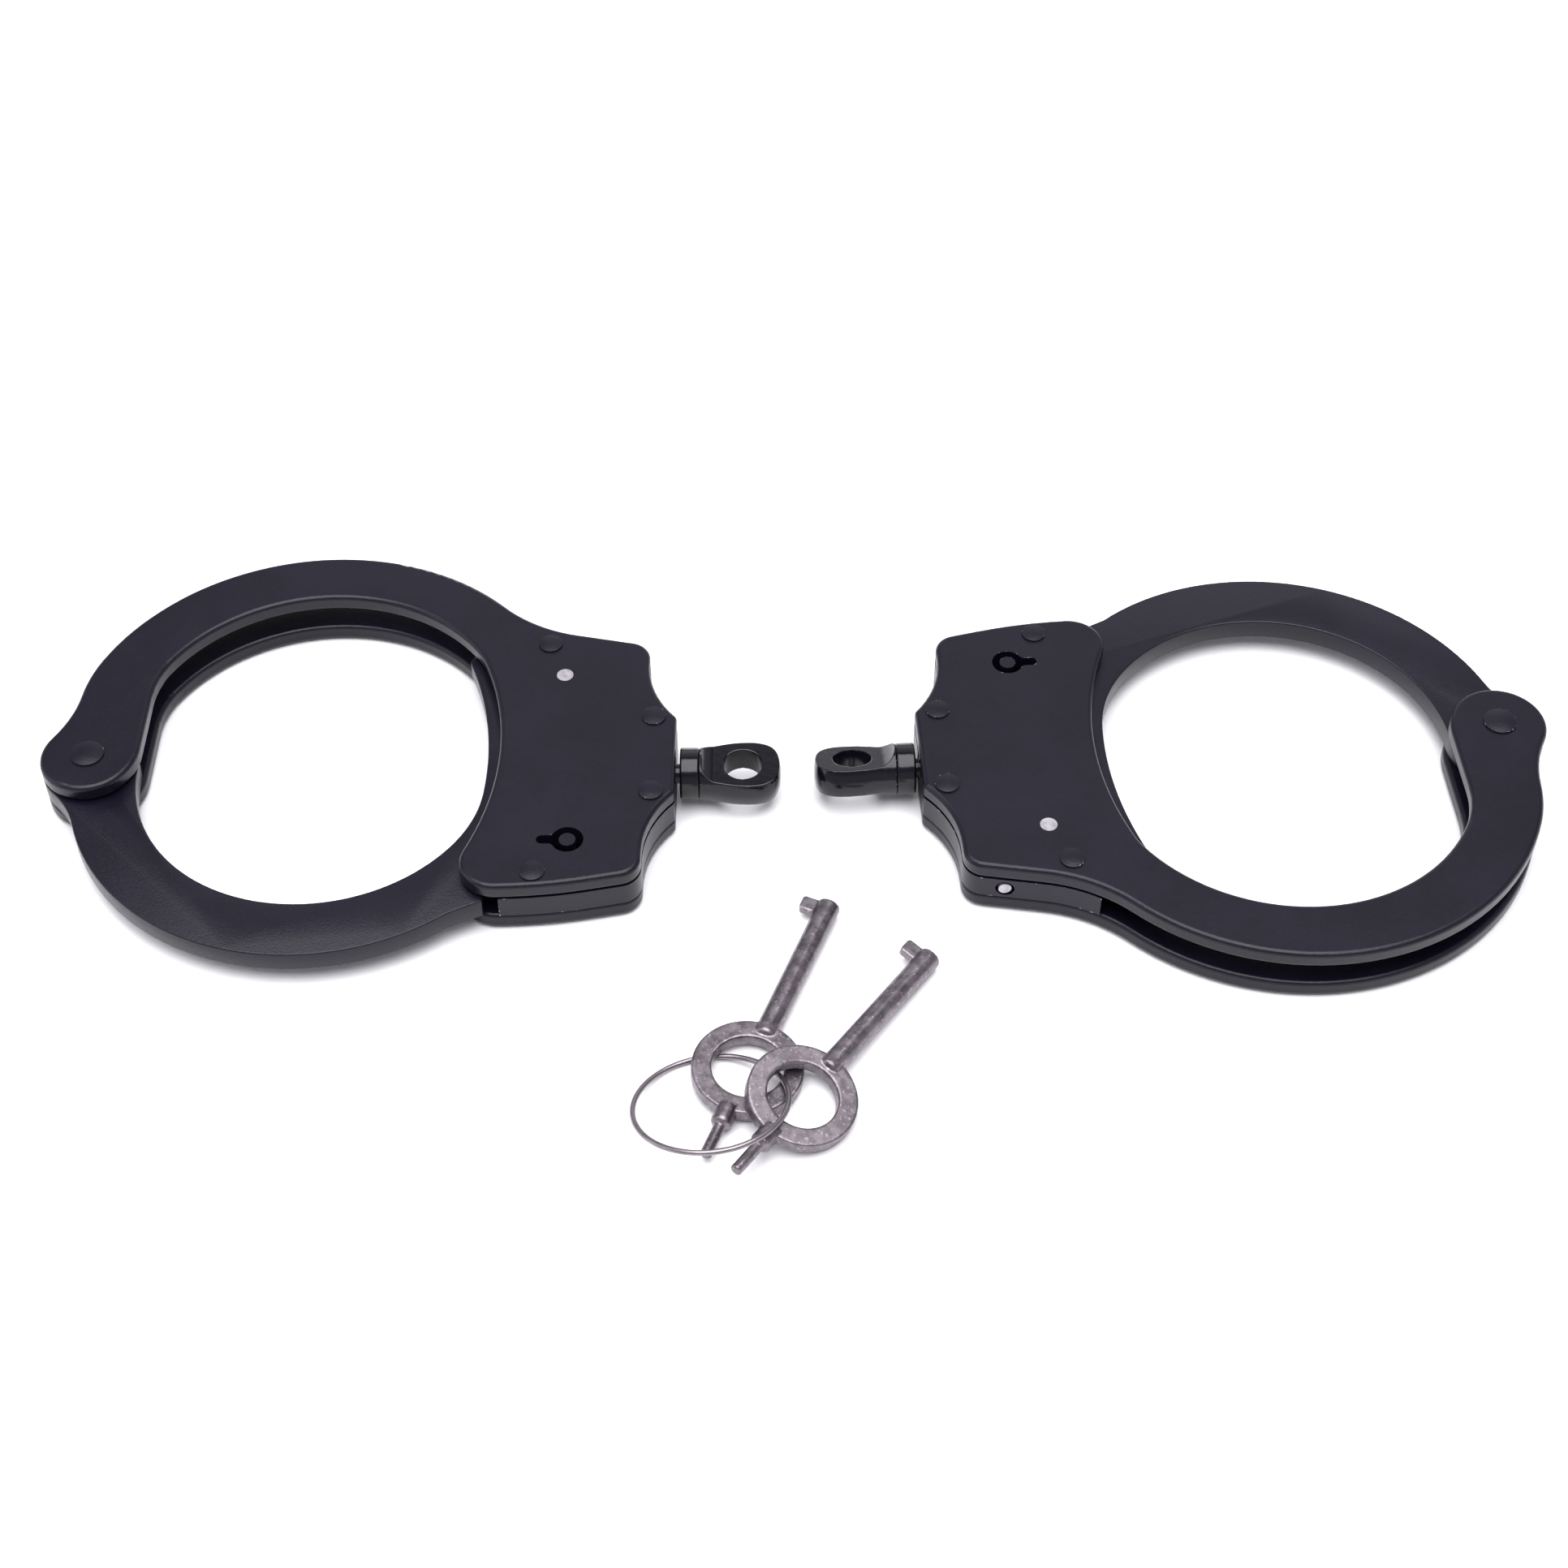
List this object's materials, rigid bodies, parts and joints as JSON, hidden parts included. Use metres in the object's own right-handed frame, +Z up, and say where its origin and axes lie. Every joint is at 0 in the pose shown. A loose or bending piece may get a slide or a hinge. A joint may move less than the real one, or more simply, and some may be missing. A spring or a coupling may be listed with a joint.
{
  "type": "handcuffs",
  "caption": "Pair of swing-through handcuffs with ratchet arms, sprung pawls, double locks and swivel eyes, with tubular keys on a wire ring.",
  "frame": {"origin": "on the surface that the set lies on, under the middle of the set's box", "axes": "+X from the left cuff to the right cuff, +Y away from the keys, +Z up"},
  "size_m": [0.2144, 0.1086, 0.0095],
  "materials": {
    "black_cuff": "satin black, fine orange-peel grain",
    "black_swivel": "semi-gloss black",
    "bare_steel": "dull bare steel",
    "key_metal": "speckled gunmetal",
    "ring_wire": "drawn wire"
  },
  "bodies": {
    "left_cuff": {"left_bottom_cheek": "black_cuff", "left_top_cheek": "black_cuff", "left_centre_block": "black_cuff", "left_strand_rivet": "black_cuff", "left_cheek_rivets": "black_cuff", "left_pawl_pin": "bare_steel", "left_pawl_spring": "bare_steel", "left_key_post": "black_cuff"},
    "left_strand": {"left_single_strand": "black_cuff"},
    "left_pawl": {"left_pawl": "bare_steel"},
    "left_lock_slide": {"left_lock_bar": "bare_steel", "left_push_pin": "bare_steel"},
    "left_swivel": {"left_swivel_collar": "black_swivel", "left_swivel_eye": "black_swivel"},
    "right_cuff": {"right_bottom_cheek": "black_cuff", "right_top_cheek": "black_cuff", "right_centre_block": "black_cuff", "right_strand_rivet": "black_cuff", "right_cheek_rivets": "black_cuff", "right_pawl_pin": "bare_steel", "right_pawl_spring": "bare_steel", "right_key_post": "black_cuff"},
    "right_strand": {"right_single_strand": "black_cuff"},
    "right_pawl": {"right_pawl": "bare_steel"},
    "right_lock_slide": {"right_lock_bar": "bare_steel", "right_push_pin": "bare_steel"},
    "right_swivel": {"right_swivel_collar": "black_swivel", "right_swivel_eye": "black_swivel"},
    "key_ring": {"key_ring": "ring_wire"},
    "rear_key": {"rear_key": "key_metal"},
    "front_key": {"front_key": "key_metal"}
  },
  "joints": [
    {"name": "left_strand_swing", "type": "hinge", "parent": "left_cuff", "child": "left_strand", "pos_m": [-0.10048, 0.01356, 0.00465], "axis": [0, 0, 1], "continuous": true},
    {"name": "left_pawl_lift", "type": "hinge", "parent": "left_cuff", "child": "left_pawl", "pos_m": [-0.03364, 0.02897, 0.00465], "axis": [0, 0, 1], "range_deg": [0, 3.6], "stiffness_Nm_per_rad": 0.2, "springref_deg": -5.73, "deforming": ["left_pawl_spring"]},
    {"name": "left_double_lock", "type": "slide", "parent": "left_cuff", "child": "left_lock_slide", "axis": [0.0029, 1, 0], "range_m": [-0.0022, 0]},
    {"name": "left_swivel_turn", "type": "hinge", "parent": "left_cuff", "child": "left_swivel", "pos_m": [-0.00773, 0.0133, 0.00465], "axis": [1, -0.0029, 0], "continuous": true},
    {"name": "right_strand_swing", "type": "hinge", "parent": "right_cuff", "child": "right_strand", "pos_m": [0.10048, 0.01881, 0.00465], "axis": [0, 0, 1], "continuous": true},
    {"name": "right_pawl_lift", "type": "hinge", "parent": "right_cuff", "child": "right_pawl", "pos_m": [0.03464, -0.00045, 0.00465], "axis": [0, 0, 1], "range_deg": [0, 3.6], "stiffness_Nm_per_rad": 0.2, "springref_deg": -5.73, "deforming": ["right_pawl_spring"]},
    {"name": "right_double_lock", "type": "slide", "parent": "right_cuff", "child": "right_lock_slide", "axis": [0.0552, -0.9985, 0], "range_m": [-0.0022, 0]},
    {"name": "right_swivel_turn", "type": "hinge", "parent": "right_cuff", "child": "right_swivel", "pos_m": [0.00787, 0.01369, 0.00465], "axis": [-0.9985, -0.0552, 0], "continuous": true},
    {"name": "right_cuff_apart", "type": "slide", "parent": "left_cuff", "child": "right_cuff", "axis": [1, 0, 0], "range_m": [0, 0.05]},
    {"name": "key_ring_lift", "type": "slide", "parent": "left_cuff", "child": "key_ring", "axis": [0, 0, 1], "range_m": [0, 0.04]},
    {"name": "rear_key_turn", "type": "hinge", "parent": "key_ring", "child": "rear_key", "pos_m": [-0.00678, -0.03683, 0.00181], "axis": [0.0532, -0.0173, 0.9984], "range_deg": [0, 8]},
    {"name": "front_key_turn", "type": "hinge", "parent": "key_ring", "child": "front_key", "pos_m": [0.00024, -0.04228, 0.00315], "axis": [0.2453, -0.1168, 0.9624], "range_deg": [0, 10]}
  ]
}
